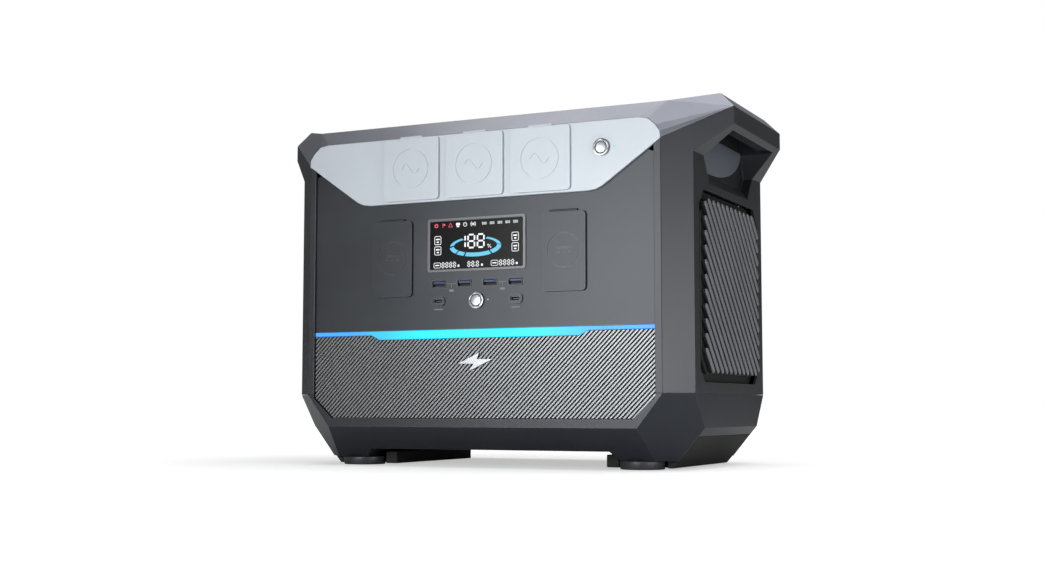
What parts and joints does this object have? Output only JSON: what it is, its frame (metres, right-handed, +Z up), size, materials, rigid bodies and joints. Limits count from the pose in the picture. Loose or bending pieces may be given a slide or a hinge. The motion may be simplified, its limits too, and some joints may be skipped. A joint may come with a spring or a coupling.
{
  "type": "portable power station",
  "caption": "Box-shaped portable power station with a lifting hood at each end, hinged socket covers, display, light bar, side vents and round feet.",
  "frame": {"origin": "middle of the bounding box, on the surface that the feet stand on", "axes": "+X to the right seen from the front, +Y to the back, +Z up"},
  "size_m": [0.4486, 0.2476, 0.3239],
  "materials": {
    "shell": "dark grey moulded plastic, fine texture",
    "panel": "charcoal plastic, satin",
    "top_cover": "grey metallic paint on plastic, satin",
    "silver": "silver metallic paint on plastic, satin",
    "black_plastic": "black plastic",
    "rubber": "matt rubber",
    "display_glass": "glossy window",
    "light": "translucent light bar",
    "grille": "fine ribbed grille",
    "steel": "steel",
    "aluminium": "plain",
    "board": "circuit board",
    "battery_wrap": "wrapped cells",
    "copper": "copper windings"
  },
  "bodies": {
    "root": {"ac_button_ring": "steel", "ac_fascia": "silver", "ac_inlet": "black_plastic", "ac_socket_1": "black_plastic", "ac_socket_2": "black_plastic", "ac_socket_3": "black_plastic", "badge": "silver", "battery_pack": "battery_wrap", "battery_tray": "aluminium", "bms_board": "board", "bottom_shell": "shell", "car_socket": "black_plastic", "chassis_plate": "aluminium", "dc_button_ring": "steel", "dc_inlet_module": "black_plastic", "display_bezel": "panel", "display_board": "board", "display_window": "display_glass", "front_grille": "grille", "front_left_foot": "rubber", "front_panel": "panel", "front_right_foot": "rubber", "inverter_board": "board", "inverter_heatsink": "aluminium", "left_base_skid": "rubber", "left_fan_frame": "black_plastic", "left_handle_grip": "rubber", "left_side_shell": "shell", "left_vent_grille": "shell", "light_bar": "light", "light_bar_board": "board", "rear_left_foot": "rubber", "rear_panel": "panel", "rear_right_foot": "rubber", "right_base_skid": "rubber", "right_fan_frame": "black_plastic", "right_handle_grip": "rubber", "right_side_shell": "shell", "right_vent_grille": "shell", "solar_inlet": "black_plastic", "top_cover": "top_cover", "transformer": "copper", "usb_a_port_1": "steel", "usb_a_port_2": "steel", "usb_a_port_3": "steel", "usb_a_port_4": "steel", "usb_c_port_1": "steel", "usb_c_port_2": "steel"},
    "ac_cover_1": {"ac_cover_1": "silver"},
    "ac_cover_2": {"ac_cover_2": "silver"},
    "ac_cover_3": {"ac_cover_3": "silver"},
    "dc_cover_left": {"dc_cover_left": "panel"},
    "dc_cover_right": {"dc_cover_right": "panel"},
    "rear_port_cover": {"rear_port_cover": "panel"},
    "ac_button": {"ac_button": "silver"},
    "dc_button": {"dc_button": "silver"},
    "breaker_button": {"breaker_button": "black_plastic"},
    "left_fan_rotor": {"left_fan_rotor": "black_plastic"},
    "right_fan_rotor": {"right_fan_rotor": "black_plastic"}
  },
  "joints": [
    {"name": "ac_cover_1_hinge", "type": "hinge", "parent": "root", "child": "ac_cover_1", "pos_m": [-0.0646, -0.1228, 0.2981], "axis": [-1, 0, 0], "range_deg": [0, 110]},
    {"name": "ac_cover_2_hinge", "type": "hinge", "parent": "root", "child": "ac_cover_2", "pos_m": [0, -0.1228, 0.2981], "axis": [-1, 0, 0], "range_deg": [0, 110]},
    {"name": "ac_cover_3_hinge", "type": "hinge", "parent": "root", "child": "ac_cover_3", "pos_m": [0.0646, -0.1228, 0.2981], "axis": [-1, 0, 0], "range_deg": [0, 110]},
    {"name": "dc_cover_left_hinge", "type": "hinge", "parent": "root", "child": "dc_cover_left", "pos_m": [-0.0855, -0.1197, 0.2229], "axis": [-1, 0, 0], "range_deg": [0, 110]},
    {"name": "dc_cover_right_hinge", "type": "hinge", "parent": "root", "child": "dc_cover_right", "pos_m": [0.0855, -0.1197, 0.2229], "axis": [-1, 0, 0], "range_deg": [0, 110]},
    {"name": "rear_port_cover_hinge", "type": "hinge", "parent": "root", "child": "rear_port_cover", "pos_m": [0, 0.1225, 0.225], "axis": [1, 0, 0], "range_deg": [0, 110]},
    {"name": "ac_button_press", "type": "slide", "parent": "root", "child": "ac_button", "axis": [0, 1, 0], "range_m": [0, 0.0012], "stiffness_N_per_m": 600, "springref_m": -0.002},
    {"name": "dc_button_press", "type": "slide", "parent": "root", "child": "dc_button", "axis": [0, 1, 0], "range_m": [0, 0.0012], "stiffness_N_per_m": 600, "springref_m": -0.002},
    {"name": "breaker_button_press", "type": "slide", "parent": "root", "child": "breaker_button", "axis": [0, -1, 0], "range_m": [0, 0.0012], "stiffness_N_per_m": 600, "springref_m": -0.002},
    {"name": "left_fan_spin", "type": "hinge", "parent": "root", "child": "left_fan_rotor", "pos_m": [-0.166, 0, 0.152], "axis": [1, 0, 0], "continuous": true},
    {"name": "right_fan_spin", "type": "hinge", "parent": "root", "child": "right_fan_rotor", "pos_m": [0.166, 0, 0.152], "axis": [1, 0, 0], "continuous": true}
  ]
}
